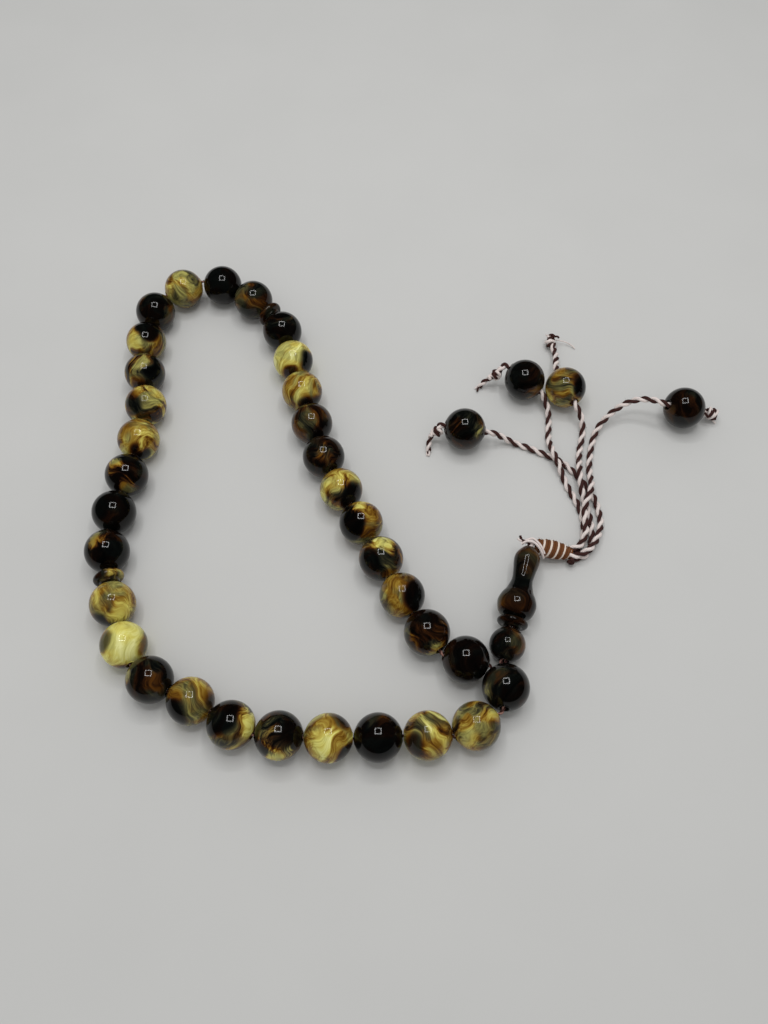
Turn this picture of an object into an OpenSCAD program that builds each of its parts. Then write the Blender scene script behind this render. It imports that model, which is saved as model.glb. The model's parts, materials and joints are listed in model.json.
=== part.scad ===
// Misbaha, laid out on a table: a loop of round resin beads in three groups parted by discs,
// closed by a small ball, a collar and a turned tower, and a tassel of four twisted cords
// that come out of a wrapped knot and each end in a bead and a knot.
// Millimetres, +Z up. The origin is on the table under the middle of the beads.

/* [Beads] */
// Diameter of every bead, of the loop and of the tassel
bead_d = 10; // [9:0.1:10]
// Diameter of the hole through a loop bead
bead_bore = 1.8; // [1.5:0.1:2.4]
// Diameter of the hole through a tassel bead, which carries the thicker cord
tassel_bead_bore = 2.2; // [2:0.1:2.6]
// Clear space between two neighbours on the string
play = 0.06; // [0.05:0.01:0.1]
// Extra slack where the string shows between two beads
slack = 0.3; // [0.2:0.05:0.5]

/* [Discs] */
// Diameter of the separator discs and of the collar
disc_d = 6.8; // [6:0.2:7.6]
// Thickness of a separator disc
disc_t = 2.8; // [2.4:0.1:3]
// Thickness of the collar between the ball and the tower
collar_t = 2.3; // [2:0.1:2.6]

/* [Tower] */
// Diameter of the small ball under the collar
ball_d = 7.8; // [7:0.2:8]
// Length of the turned tower
tower_len = 17; // [16:0.5:18]
// Radius of the tower's belly
belly_r = 4.3; // [4:0.1:4.6]
// Radius of the tower's neck
neck_r = 2.35; // [2.2:0.05:2.6]
// Radius of the tower's head
head_r = 2.85; // [2.6:0.05:3.1]
// Diameter of the hole through ball, collar and tower, which holds two strands
tower_bore = 2.3; // [2:0.1:2.4]
// Direction that the tower points in, from +X
tower_heading = 74; // [70:1:78]

/* [Cords] */
// Diameter of the string through the loop
string_d = 0.8; // [0.6:0.1:0.9]
// Diameter of the twisted tassel cord
cord_d = 1.6; // [1.4:0.1:1.6]
// Diameter of an end knot
knot_d = 3; // [2.6:0.2:3.2]
// Largest diameter of the wrapped knot
wrap_d = 4; // [3.6:0.2:4]

/* [Hidden] */
$fn = 48;
CORD_SIDES = 8;
// Beads in each of the three groups of the loop
GROUP = 11;
bead_r = bead_d / 2;
UP = [0, 0, 1];

// Line of the bead centres, from the bead next to the ball round to the last one
loop_route = [
    [19.5, -50], [13, -58], [3, -60], [-17, -60.5], [-27, -60], [-36.5, -58], [-45.5, -53],
    [-54.5, -48.5], [-61, -41], [-65, -31], [-68, -19], [-68, -9], [-66.5, 1], [-65, 11],
    [-64.5, 21], [-66, 31], [-67, 41], [-66, 51], [-59, 59.5], [-48.5, 60.5], [-40, 55],
    [-32, 44.5], [-26, 25], [-20, 6], [-11, -11.5], [-2, -29], [3, -37.5], [11.5, -44],
    [15, -46]
];

// Centre of each tassel bead
tassel_beads = [[13.8, 14.4, 5], [29.5, 29.2, 5], [39.5, 26.8, 5], [68.1, 20.6, 5]];
// Heading and rise of each tassel bead's hole, on the side where its cord comes in
tassel_bores = [[-6, -6], [-38, -11], [-70, 0], [184, 20]];

// Ring centres of the tassel cords, from the wrapped knot to the end knots
tassel_routes = [
    [
        [36.4, -18.6, 2.6], [38.8, -18.3, 2.6], [41, -16.9, 2.6], [42.7, -14.9, 2.4],
        [44, -12.2, 1.9], [44.8, -9.4, 1.3], [44.8, -6.4, 0.9], [44.3, -3.2, 0.85],
        [43.2, -0.6, 0.85], [41.9, 1.8, 0.85], [40.5, 4, 0.85], [39, 5.8, 0.85],
        [37.4, 7.4, 0.85], [35.6, 8.6, 0.85], [33.6, 9.6, 0.85], [31.6, 10.6, 0.85],
        [29.6, 11.6, 0.85], [27.6, 12.4, 0.85], [25.8, 13, 1.2], [24.1, 13.4, 2],
        [22.5, 13.7, 3], [21, 13.8, 3.9], [19.5, 13.8, 4.4], [13.8, 14.4, 5],
        [8.3, 15, 5.6], [7.3, 14.8, 4.9]
    ],
    [
        [36.4, -16.9, 0.85], [37.9, -16.6, 0.85], [39.2, -15.7, 0.85], [40.1, -14.2, 0.85],
        [40.7, -11.9, 0.85], [40.9, -9.1, 0.85], [40.6, -6.3, 0.85], [39.7, -3.3, 0.85],
        [38.4, -0.2, 0.85], [37.4, 2.8, 1], [36.6, 5.2, 1.8], [35.7, 7.6, 2.65],
        [35.1, 9.8, 2.6], [34.8, 12.4, 1.6], [34.8, 14.8, 0.9], [35.1, 17.2, 0.85],
        [35.3, 19.4, 0.95],
        [35.3, 21.4, 1.4], [35, 23, 2.3], [34.3, 24.6, 3.2], [33.6, 26, 4], [29.5, 29.2, 5],
        [25.2, 32.6, 6.1], [24, 32.5, 5.5], [23.2, 31.9, 4.7]
    ],
    [
        [36.4, -18.6, 0.85], [38.9, -18.3, 0.85], [40.8, -17.2, 0.85], [42, -15, 0.85],
        [42.5, -11.8, 0.85], [42.6, -8.8, 0.85], [42.2, -5.8, 0.85], [41.5, -2.9, 1.2],
        [41.1, -0.7, 2.2], [41, 1.8, 2.7], [41.1, 4.4, 2.6], [41.5, 7, 1.5],
        [42, 10.2, 0.85], [42.8, 13.4, 0.85], [43.3, 15.6, 1], [43.4, 17.6, 1.6],
        [43.1, 19.2, 2.7], [42.3, 20.4, 4], [41.4, 21.8, 4.9], [39.5, 26.8, 5],
        [37.8, 31.5, 5], [37.8, 33.6, 4.7], [38.2, 36, 3.8], [38.6, 38.6, 2.7], [38.5, 41, 1.9],
        [38, 43, 1.6]
    ],
    [
        [36.4, -16.9, 2.6], [37.9, -16.6, 2.6], [39.2, -15.7, 2.6], [40.1, -14.2, 2.6],
        [40.8, -12, 2.6], [41, -9, 2.6], [41.1, -6.4, 2.7], [41.9, -4.2, 3], [42.9, -2, 3],
        [43.5, 0.2, 2.6], [43.7, 2.8, 1.6], [43.9, 5.8, 0.9], [44.4, 8.8, 0.85],
        [45.2, 12.2, 0.85], [46.4, 15.6, 1.2], [48.2, 18.2, 2.2], [50.6, 20.2, 3.5],
        [53.6, 21.8, 4.9], [57, 22.2, 6.3], [60.2, 21.4, 7.1], [62.3, 20.6, 7.1],
        [63.4, 20.3, 6.7], [68.1, 20.6, 5], [72.8, 20.9, 3.3], [74.4, 21, 2.7]
    ]
];
// Centre of each end knot, and the tip of its cut end
end_knots = [[6.9, 14.3, 3.7], [22.5, 31.2, 3.8], [37.8, 44.2, 1.6], [75.6, 20.9, 2.1]];
knot_tips = [[5.2, 10.6, 0.7], [18.4, 30.3, 0.8], [42.8, 44.4, 0.7], [77.2, 20.6, 1]];

// Unit vector along v
function unit(v) = v / norm(v);
// Heading of v in the XY plane, and its rise above it
function heading(v) = atan2(v[1], v[0]);
function rise(v) = asin(unit(v)[2]);
// Unit vector of a heading and a rise
function aim(a, r) = [cos(r) * cos(a), cos(r) * sin(a), sin(r)];

// Direction of a line of points at point i, halfway between the stretches that meet there
function run(p, i) = i < 0 || i > len(p) - 2 ? [0, 0, 0] : unit(p[i + 1] - p[i]);
function tangent(p, i) = unit(run(p, i - 1) + run(p, i));

// Smooth curve through points, with a number of steps between two of them
function spline(a, b, c, d, t) =
    (2 * b + (c - a) * t + (2 * a - 5 * b + 4 * c - d) * t * t + (3 * b - a - 3 * c + d) * t * t * t) / 2;
function smooth(p, steps) = [
    for (i = [0:len(p) - 2]) for (k = [0:steps - 1])
        spline(p[max(i - 1, 0)], p[i], p[i + 1], p[min(i + 2, len(p) - 1)], k / steps),
    p[len(p) - 1]
];

// Share of the segment a-b at which it is a given reach away from a point
function share_at(a, b, from, reach) =
    let (d = b - a, f = a - from, aa = d * d, bb = 2 * f * d, cc = f * f - reach * reach)
    (sqrt(bb * bb - 4 * aa * cc) - bb) / (2 * aa);
// Points set along a line so that each is its reach away from the one before
function walk(line, reaches, from, i = 0, n = 0) =
    n == len(reaches) ? [from]
    : norm(line[i + 1] - from) < reaches[n] ? walk(line, reaches, from, i + 1, n)
    : let (p = line[i] + share_at(line[i], line[i + 1], from, reaches[n]) * (line[i + 1] - line[i]))
        concat([from], walk(line, reaches, p, i, n + 1));

// Thickness along the string of each thing on the loop: beads, with a disc after each group
loop_sizes = [
    for (g = [0:2]) each concat([for (i = [1:GROUP]) bead_d], g < 2 ? [disc_t] : [])
];
loop_count = len(loop_sizes);
DISC_1 = GROUP;
DISC_2 = 2 * GROUP + 1;
// Places where the string shows: after the first bead, round the far turn and at the second disc
SLACK_AFTER = [0, 19, 20, 22];
// Room for a disc to tip against the bead after it
TIP_ROOM = 0.2;
loop_reaches = [
    for (n = [0:loop_count - 2])
        (loop_sizes[n] + loop_sizes[n + 1]) / 2 + play + (len(search(n, SLACK_AFTER)) > 0 ? slack : 0)
            + (n == DISC_1 || n == DISC_2 ? TIP_ROOM : 0)
];
loop_places = [
    for (p = walk(smooth(loop_route, 10), loop_reaches, loop_route[0])) [p[0], p[1], bead_r]
];

// The ball, collar and tower lie on one axis, down on the table at the ball and at the belly
ball_at = [20.6, -40.3, ball_d / 2];
collar_up = ball_d / 2 + play;
tower_up = collar_up + collar_t + play;
belly_up = 3;
tower_rise = asin((belly_r - ball_d / 2) / (tower_up + belly_up));
tower_dir = aim(tower_heading, tower_rise);
tower_side = unit(cross(tower_dir, UP));
tower_mouth = ball_at + (tower_up + tower_len) * tower_dir;
strand_gap = 0.95;
STRAND_DROP = 0.6;
ball_mouth = ball_at - (ball_d / 2 + STRAND_DROP) * tower_dir;

// The wrapped knot: where it turns at the tower's mouth, where its windings start and end
NECK_STAND = 1;
wrap_pivot = tower_mouth + NECK_STAND * tower_dir;
wrap_start = [28.8, -16.8, 3.9];
wrap_end = [36.8, -17.7, 1.95];

// The string leaves the ball as two strands, one to each end of the loop
strand_out = [ball_mouth + strand_gap / 2 * tower_side, ball_mouth - strand_gap / 2 * tower_side];
// Centre of the mouth of the hole through thing n: side is 1 where the string leaves it, else -1
function mouth(dirs, n, side) = loop_places[n] + side * loop_sizes[n] / 2 * dirs[n];
// Place where the string turns after thing n on the loop, halfway between two mouths
function turn(dirs, n) =
    n < 0 ? strand_out[0]
    : n > loop_count - 2 ? strand_out[1]
    : (mouth(dirs, n, 1) + mouth(dirs, n + 1, -1)) / 2;
// Directions of the holes after they settle along the string a number of times
function settled(dirs, times) =
    times == 0 ? dirs
    : settled([for (n = [0:loop_count - 1]) unit(turn(dirs, n) - turn(dirs, n - 1))], times - 1);
SETTLE_TIMES = 6;
loop_dirs = settled([
    for (n = [0:loop_count - 1])
        let (before = n < 1 ? strand_out[0] : loop_places[n - 1])
        let (after = n > loop_count - 2 ? strand_out[1] : loop_places[n + 1])
        unit(after - before)
], SETTLE_TIMES);

// The string shows between two neighbours whose mouths are this far apart
MOUTHS_APART = 0.8;
END_PROUD = 0.4;
string_turns = concat(
    [
        tower_mouth + strand_gap / 2 * tower_side, strand_out[0],
        mouth(loop_dirs, 0, -1) - END_PROUD * loop_dirs[0]
    ],
    [
        for (n = [0:loop_count - 2])
            let (from = mouth(loop_dirs, n, 1), to = mouth(loop_dirs, n + 1, -1))
            each norm(to - from) > MOUTHS_APART ? [from, to] : [(from + to) / 2]
    ],
    [
        mouth(loop_dirs, loop_count - 1, 1) + END_PROUD * loop_dirs[loop_count - 1],
        strand_out[1], tower_mouth - strand_gap / 2 * tower_side
    ]
);

// Half outline of the tower, from its foot up
tower_outline = smooth([
    [1.9, 0], [3.6, 0.9], [belly_r, belly_up], [belly_r - 0.4, 4.8], [3, 6.5], [neck_r, 8.8],
    [neck_r + 0.1, 10.8], [head_r, 13.4], [head_r - 0.1, tower_len - 2], [2, tower_len - 0.7],
    [1.4, tower_len]
], 4);
// Half outline of the wrapped knot, from the tower's end to the tassel's
wrap_len = norm(wrap_end - wrap_start);
WRAP_START_R = 1.2;
WRAP_END_R = 1.85;
wrap_outline = smooth([
    [WRAP_START_R, 0], [wrap_d / 2 - 0.15, 0.25 * wrap_len], [wrap_d / 2, 0.5 * wrap_len],
    [wrap_d / 2 - 0.05, 0.8 * wrap_len], [WRAP_END_R, wrap_len]
], 4);
NECK_R = 0.95;
CUT_END_R = 0.5;

function two_digits(i) = str(i < 10 ? "0" : "", i);
// Place on the loop of bead number i, counted from 1
function place_of(i) = i - 1 + floor((i - 1) / GROUP);
bead_names = [for (i = [1:3 * GROUP]) str("bead_", two_digits(i))];
tassel_bead_names = [for (k = [1:4]) str("tassel_bead_", k)];
tassel_cord_names = [for (k = [1:4]) str("tassel_cord_", k)];
end_knot_names = [for (k = [1:4]) str("end_knot_", k)];

// Turns a child's +Z to a direction and moves it to a point
module along(at, dir) {
    translate(at) rotate([0, 90 - rise(dir), heading(dir)]) children();
}

// Solid of revolution of a half outline, with a hole along it
module turned(outline, bore) {
    h = outline[len(outline) - 1][1];
    difference() {
        rotate_extrude() polygon(concat([[0, 0]], outline, [[0, h]]));
        translate([0, 0, -1]) cylinder(d = bore, h = h + 2);
    }
}

// Round cord swept along its ring centres, as one closed solid
module cord(p, d) {
    last = len(p) - 1;
    rings = [
        for (i = [0:last])
            let (
                t = tangent(p, i),
                side = unit(cross(t, UP)),
                lift = cross(side, t)
            )
            for (k = [0:CORD_SIDES - 1])
                p[i] + d / 2 * (cos(k * 360 / CORD_SIDES) * side + sin(k * 360 / CORD_SIDES) * lift)
    ];
    walls = [
        for (i = [0:last - 1]) for (k = [0:CORD_SIDES - 1])
            let (a = i * CORD_SIDES, q = (k + 1) % CORD_SIDES)
            [a + k, a + q, a + CORD_SIDES + q, a + CORD_SIDES + k]
    ];
    polyhedron(rings, concat(
        [[for (k = [CORD_SIDES - 1:-1:0]) k]], walls,
        [[for (k = [0:CORD_SIDES - 1]) last * CORD_SIDES + k]]
    ));
}

// Round bead drilled through its middle
module drilled_bead(d, bore) {
    difference() {
        sphere(d = d);
        cylinder(d = bore, h = d + 2, center = true);
    }
}

module bead(i) {
    n = place_of(i);
    color(i % 3 == 0 ? "goldenrod" : "saddlebrown")
        along(loop_places[n], loop_dirs[n]) drilled_bead(bead_d, bead_bore);
}

// Flat disc with a rounded rim and a low boss on each face
module button(d, t, bore) {
    boss_r = d * 0.3;
    rim_t = t * 0.62;
    rim = [for (a = [-90:15:90]) [d / 2 - rim_t / 2 + rim_t / 2 * cos(a), t / 2 + rim_t / 2 * sin(a)]];
    turned(concat([[boss_r, 0]], rim, [[boss_r, t]]), bore);
}

module separator_disc(n) {
    color("saddlebrown")
        along(loop_places[n] - disc_t / 2 * loop_dirs[n], loop_dirs[n]) button(disc_d, disc_t, bead_bore);
}

module ball() {
    color("#3a2010") along(ball_at, tower_dir) drilled_bead(ball_d, tower_bore);
}

module collar() {
    color("#3a2010")
        along(ball_at + collar_up * tower_dir, tower_dir) button(disc_d, collar_t, tower_bore);
}

module tower() {
    color("#3a2010")
        along(ball_at + tower_up * tower_dir, tower_dir) turned(tower_outline, tower_bore);
}

// String through the loop, with both ends up through the ball, the collar and the tower
module loop_string() {
    color("rosybrown") cord(string_turns, string_d);
}

// Windings that bind the four tassel cords, with the neck that goes down to the tower
module wrapped_knot() {
    neck = wrap_start - wrap_pivot;
    color("chocolate") {
        along(wrap_pivot, neck) {
            sphere(r = NECK_R);
            cylinder(r = NECK_R, h = norm(neck));
        }
        along(wrap_start, wrap_end - wrap_start)
            rotate_extrude() polygon(concat([[0, 0]], wrap_outline, [[0, wrap_len]]));
    }
}

module tassel_cord(k) {
    color("rosybrown") cord(tassel_routes[k - 1], cord_d);
}

module tassel_bead(k) {
    color(k == 3 ? "goldenrod" : "#2a1a10")
        along(tassel_beads[k - 1], aim(tassel_bores[k - 1][0], tassel_bores[k - 1][1]))
            drilled_bead(bead_d, tassel_bead_bore);
}

module end_knot(k) {
    cut_end = knot_tips[k - 1] - end_knots[k - 1];
    color("rosybrown") along(end_knots[k - 1], cut_end) {
        sphere(d = knot_d);
        cylinder(r = CUT_END_R, h = norm(cut_end));
    }
}

for (i = [1:3 * GROUP]) bead(i);
separator_disc(DISC_1);  // separator_disc_1
separator_disc(DISC_2);  // separator_disc_2
ball();
collar();
tower();
loop_string();
wrapped_knot();
for (k = [1:4]) tassel_cord(k);
for (k = [1:4]) tassel_bead(k);
for (k = [1:4]) end_knot(k);
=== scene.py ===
"""Looks of a misbaha, a string of marbled resin prayer beads with a tassel, around its CAD frame."""
import json
import math

import bmesh
import bpy
from bpy.props import FloatProperty, FloatVectorProperty, IntProperty, PointerProperty
from bpy.types import Operator, Panel, PropertyGroup
from mathutils import Matrix, Vector


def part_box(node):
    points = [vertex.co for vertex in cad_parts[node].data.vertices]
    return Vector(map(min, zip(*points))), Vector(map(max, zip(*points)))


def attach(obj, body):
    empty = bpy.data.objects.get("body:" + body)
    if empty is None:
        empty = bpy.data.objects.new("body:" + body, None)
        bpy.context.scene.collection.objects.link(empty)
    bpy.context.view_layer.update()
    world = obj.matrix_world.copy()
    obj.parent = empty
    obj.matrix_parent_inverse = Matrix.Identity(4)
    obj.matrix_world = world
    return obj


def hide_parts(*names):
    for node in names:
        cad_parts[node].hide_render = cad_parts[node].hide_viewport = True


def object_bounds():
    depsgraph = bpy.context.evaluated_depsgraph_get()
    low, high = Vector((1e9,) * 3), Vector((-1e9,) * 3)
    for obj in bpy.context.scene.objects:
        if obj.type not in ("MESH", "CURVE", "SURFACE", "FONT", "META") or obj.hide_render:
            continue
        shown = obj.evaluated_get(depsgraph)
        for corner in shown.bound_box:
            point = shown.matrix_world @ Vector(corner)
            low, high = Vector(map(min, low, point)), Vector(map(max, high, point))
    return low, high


bl_info = {
    "name": "Misbaha prayer beads",
    "version": (1, 0, 0),
    "blender": (4, 5, 0),
    "location": "View3D > Sidebar > Misbaha",
    "description": "Builds a string of marbled resin prayer beads with a tassel of twisted cords",
    "category": "Add Mesh",
}

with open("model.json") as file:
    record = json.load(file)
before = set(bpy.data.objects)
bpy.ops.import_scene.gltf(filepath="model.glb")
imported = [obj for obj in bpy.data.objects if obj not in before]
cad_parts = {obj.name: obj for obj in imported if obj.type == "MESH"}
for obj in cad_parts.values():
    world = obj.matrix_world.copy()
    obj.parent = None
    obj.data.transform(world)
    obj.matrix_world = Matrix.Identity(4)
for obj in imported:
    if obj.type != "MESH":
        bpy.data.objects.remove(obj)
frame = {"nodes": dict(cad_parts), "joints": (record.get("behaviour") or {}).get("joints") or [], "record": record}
cad_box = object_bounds()
JOINT_OF = {joint["child"]: joint for joint in frame["joints"]}
BODY_OF = {node: body for body, nodes in frame["record"]["behaviour"]["bodies"].items() for node in nodes}
BEADS = [f"bead_{number:02d}" for number in range(1, 34)]
LOOP = BEADS[:11] + ["separator_disc_1"] + BEADS[11:22] + ["separator_disc_2"] + BEADS[22:]
TASSEL_BEADS = [f"tassel_bead_{number}" for number in range(1, 5)]
FULL_TURN = 2 * math.pi
UP = Vector((0, 0, 1))

CAMERA_AT = Vector((-0.0058, -0.1046, 0.1817))
CAMERA_TILT = math.radians(28.52)
FOCAL_MM, SENSOR_MM, CLIP_START = 30.7, 36, 0.005
LAMP_AT = Vector((-0.01, 0.076, 0.478))
STRIP_SHARE = 0.045
FILL_AT, FILL_SIDE = (0, 0.25, 1.2), 1.6
FLOOR_SIDE, FLOOR_GRAIN = 30, 0.94
# Brightness of the surroundings as they light things, are seen, and are mirrored in the polish
SKY_LIGHT, SKY_SEEN, SKY_IN_POLISH = 0.475, 0.3, 0.012
SKY_COLOUR = (1, 1, 0.985, 1)

# Half outline of the tower from its foot up, as shares of the belly's radius and of the length
TOWER_SHAPE = [
    (0.44, 0), (0.84, 0.05), (1, 0.176), (0.91, 0.28), (0.7, 0.38), (0.547, 0.518), (0.57, 0.635),
    (0.663, 0.788), (0.64, 0.882), (0.465, 0.96), (0.33, 1),
]
TOWER_RIM = 0.0001
BEAD_STEPS = 54
# A disc's rim and boss, as shares of its thickness and radius, its eased edge, and the step between
# them, out from the boss and up from the rim
RIM_SHARE, BOSS_SHARE, DISC_EASE = 0.31, 0.6, 0.00015
DISC_STEP = [(0.0003, 0), (0.0001, 0.00008)]

# A ply's thickness and its distance from the middle, as shares of the cord's diameter
PLY_THICK, PLY_OUT = 0.53, 0.235
FIBRE_LAY = 0.0011
YARN_STEP, STRING_STEP = 0.0002, 0.00025
# Lay of the string and of the crossing strands, as shares of the cords' lay
STRING_LAY, CROSSING_LAY = 0.45, 0.7
# How far each cord and knot is turned on from the one before, and the knots' first seed
CORD_TURN, KNOT_TURN, KNOT_SEED = 1.3, 0.7, 40
# Fibres across a yarn, and how much the painted shade in the grooves between them, fuzz and wider patches change
# its brightness
FIBRES_ACROSS = 5
PAINTED_GROOVE_SHADE, FUZZ_SHADE, PATCH_SHADE, LEAST_SHADE = 0.22, 0.3, 0.3, 0.6
# How far apart the two strands lie in the tower, and how far from a hole's end the string turns
STRANDS_APART = 0.00095
TURN_POINT = 0.0006
# End knots: radius, turns, pitch and slant of their wraps, and thickness and lay of the cord in them
TIED_KNOT = (0.00078, 2.25, 0.0009, 0.0004, 0.00135, 0.0034)
COILED_KNOT = (0.0011, 2.75, 0.00085, 0.0, 0.0011, 0.0046)
WRAP_STEPS = 12
# The winding: its least radius, its swell and the span of it that shows, its steps in a turn, and the
# thicknesses and places of its core and threads
WAIST, SWELL, SWELL_START, SWELL_SPAN = 0.0004, 0.0017, 0.24, 0.62
WINDING_STEPS = 24
CORE_THICK, WIDE_THICK, THIN_THICK = 0.0028, 0.00074, 0.00056
WIDE_SUNK, THIN_SUNK, WIDE_APART = 0.0003, 0.0002, 0.00031

# The resin: how much its streaks and fine lines change the ground tone and a patch's edge, how far its
# drift bends that edge, how soft the edge is, and how strong the lines in a patch are
GROUND_STREAKS, GROUND_LINES = 1.35, 0.7
EDGE_STREAKS, EDGE_LINES, EDGE_DRIFT = 0.36, 0.2, 0.55
EDGE_OUTSIDE, EDGE_INSIDE = 0.13, 0.1
PATCH_LINES = 0.55
STREAK_STRETCH = (0.3, 2.1, 0.9)
SEED_STEP = (3.1, 1.7, -2.3)
COOL_SHARE = 0.85
RESIN_IOR = 1.36

# Height of the middle of a cord that lies on the floor
LIES = 0.00085
# Middle lines of the tassel cords, from the wrapped knot to the end knots, in metres
TASSEL_ROUTES = [
    [
        (0.0364, -0.0186, 0.0026), (0.0388, -0.0183, 0.0026), (0.041, -0.0169, 0.0026),
        (0.0427, -0.0149, 0.0024), (0.044, -0.0122, 0.0019), (0.0448, -0.0094, 0.0013),
        (0.0448, -0.0064, 0.0009), (0.0443, -0.0032, LIES), (0.0432, -0.0006, LIES),
        (0.0419, 0.0018, LIES), (0.0405, 0.004, LIES), (0.039, 0.0058, LIES),
        (0.0374, 0.0074, LIES), (0.0356, 0.0086, LIES), (0.0336, 0.0096, LIES),
        (0.0316, 0.0106, LIES), (0.0296, 0.0116, LIES), (0.0276, 0.0124, LIES),
        (0.0258, 0.013, 0.0012), (0.0241, 0.0134, 0.002), (0.0225, 0.0137, 0.003),
        (0.021, 0.0138, 0.0039), (0.0195, 0.0138, 0.0044), (0.0138, 0.0144, 0.005),
        (0.0083, 0.015, 0.0056), (0.0073, 0.0148, 0.0049),
    ],
    [
        (0.0364, -0.0169, LIES), (0.0379, -0.0166, LIES), (0.0392, -0.0157, LIES),
        (0.0401, -0.0142, LIES), (0.0407, -0.0119, LIES), (0.0409, -0.0091, LIES),
        (0.0406, -0.0063, LIES), (0.0397, -0.0033, LIES), (0.0384, -0.0002, LIES),
        (0.0374, 0.0028, 0.001), (0.0366, 0.0052, 0.0018), (0.0357, 0.0076, 0.00265),
        (0.0351, 0.0098, 0.0026), (0.0348, 0.0124, 0.0016), (0.0348, 0.0148, 0.0009),
        (0.0351, 0.0172, LIES), (0.0353, 0.0194, 0.00095), (0.0353, 0.0214, 0.0014),
        (0.035, 0.023, 0.0023), (0.0343, 0.0246, 0.0032), (0.0336, 0.026, 0.004), (0.0295, 0.0292, 0.005),
        (0.0252, 0.0326, 0.0061), (0.024, 0.0325, 0.0055), (0.0232, 0.0319, 0.0047),
    ],
    [
        (0.0364, -0.0186, LIES), (0.0389, -0.0183, LIES), (0.0408, -0.0172, LIES),
        (0.042, -0.015, LIES), (0.0425, -0.0118, LIES), (0.0426, -0.0088, LIES),
        (0.0422, -0.0058, LIES), (0.0415, -0.0029, 0.0012), (0.0411, -0.0007, 0.0022),
        (0.041, 0.0018, 0.0027), (0.0411, 0.0044, 0.0026), (0.0415, 0.007, 0.0015),
        (0.042, 0.0102, LIES), (0.0428, 0.0134, LIES), (0.0433, 0.0156, 0.001),
        (0.0434, 0.0176, 0.0016), (0.0431, 0.0192, 0.0027), (0.0423, 0.0204, 0.004),
        (0.0414, 0.0218, 0.0049), (0.0395, 0.0268, 0.005), (0.0378, 0.0315, 0.005),
        (0.0378, 0.0336, 0.0047), (0.0382, 0.036, 0.0038), (0.0386, 0.0386, 0.0027),
        (0.0385, 0.041, 0.0019), (0.038, 0.043, 0.0016),
    ],
    [
        (0.0364, -0.0169, 0.0026), (0.0379, -0.0166, 0.0026), (0.0392, -0.0157, 0.0026),
        (0.0401, -0.0142, 0.0026), (0.0408, -0.012, 0.0026), (0.041, -0.009, 0.0026),
        (0.0411, -0.0064, 0.0027), (0.0419, -0.0042, 0.003), (0.0429, -0.002, 0.003),
        (0.0435, 0.0002, 0.0026), (0.0437, 0.0028, 0.0016), (0.0439, 0.0058, 0.0009),
        (0.0444, 0.0088, LIES), (0.0452, 0.0122, LIES), (0.0464, 0.0156, 0.0012),
        (0.0482, 0.0182, 0.0022), (0.0506, 0.0202, 0.0035), (0.0536, 0.0218, 0.0049),
        (0.057, 0.0222, 0.0063), (0.0602, 0.0214, 0.0071), (0.0623, 0.0206, 0.0071),
        (0.0634, 0.0203, 0.0067), (0.0681, 0.0206, 0.005), (0.0728, 0.0209, 0.0033),
        (0.0744, 0.021, 0.0027),
    ],
]
# Middle of each end knot, and where its cut tail runs to past it
KNOT_MIDDLES = [
    (0.0071, 0.0143, 0.0037), (0.0224, 0.0314, 0.0038),
    (0.0377, 0.0441, 0.0018), (0.0757, 0.0207, 0.0024),
]
TAILS = [
    [(0.0057, 0.0138, 0.0027), (0.0052, 0.0124, 0.0016), (0.0051, 0.0108, 0.0008)],
    [(0.0208, 0.0313, 0.0026), (0.0196, 0.0309, 0.0017), (0.0186, 0.0301, 0.0008)],
    [(0.0381, 0.0452, 0.0026), (0.039, 0.0449, 0.0028)],
    [(0.0764, 0.02, 0.001), (0.0769, 0.0203, 0.0008)],
]
# Frayed yarns at the cut ends: which ply, how thick, and where each runs
FRAYS = [
    [
        (1, 0.0005, [(0.0051, 0.0114, 0.001), (0.0053, 0.0104, 0.0005), (0.0051, 0.0096, 0.0004)]),
        (1, 0.0004, [(0.0051, 0.0112, 0.0009), (0.0047, 0.0103, 0.0004), (0.0048, 0.0097, 0.0003)]),
        (0, 0.0004, [(0.0052, 0.0112, 0.0009), (0.0049, 0.0105, 0.0007), (0.005, 0.01, 0.0003)]),
    ],
    [
        (0, 0.0005, [(0.0188, 0.0303, 0.0009), (0.0182, 0.0297, 0.0007), (0.018, 0.0289, 0.0005)]),
        (1, 0.0004, [(0.0188, 0.0304, 0.0009), (0.018, 0.0302, 0.0006), (0.0175, 0.0299, 0.0004)]),
    ],
    [
        (0, 0.0005, [(0.0389, 0.0449, 0.0028), (0.0396, 0.0447, 0.003), (0.0399, 0.0443, 0.0028)]),
        (1, 0.0003, [
            (0.0384, 0.0445, 0.002), (0.04, 0.0447, 0.0015), (0.0418, 0.0445, 0.0011),
            (0.0434, 0.0438, 0.0007), (0.0444, 0.0429, 0.0004),
        ]),
        (1, 0.0004, [(0.0378, 0.0449, 0.0022), (0.0371, 0.0454, 0.0026), (0.0366, 0.0453, 0.0029)]),
    ],
    [
        (1, 0.0004, [(0.0762, 0.0199, 0.0009), (0.0768, 0.0194, 0.0005), (0.0771, 0.0192, 0.0004)]),
    ],
]

# The two ends of the winding that binds the cords
WRAP_START = Vector((0.0288, -0.0168, 0.0039))
WRAP_END = Vector((0.0368, -0.0177, 0.00195))

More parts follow.
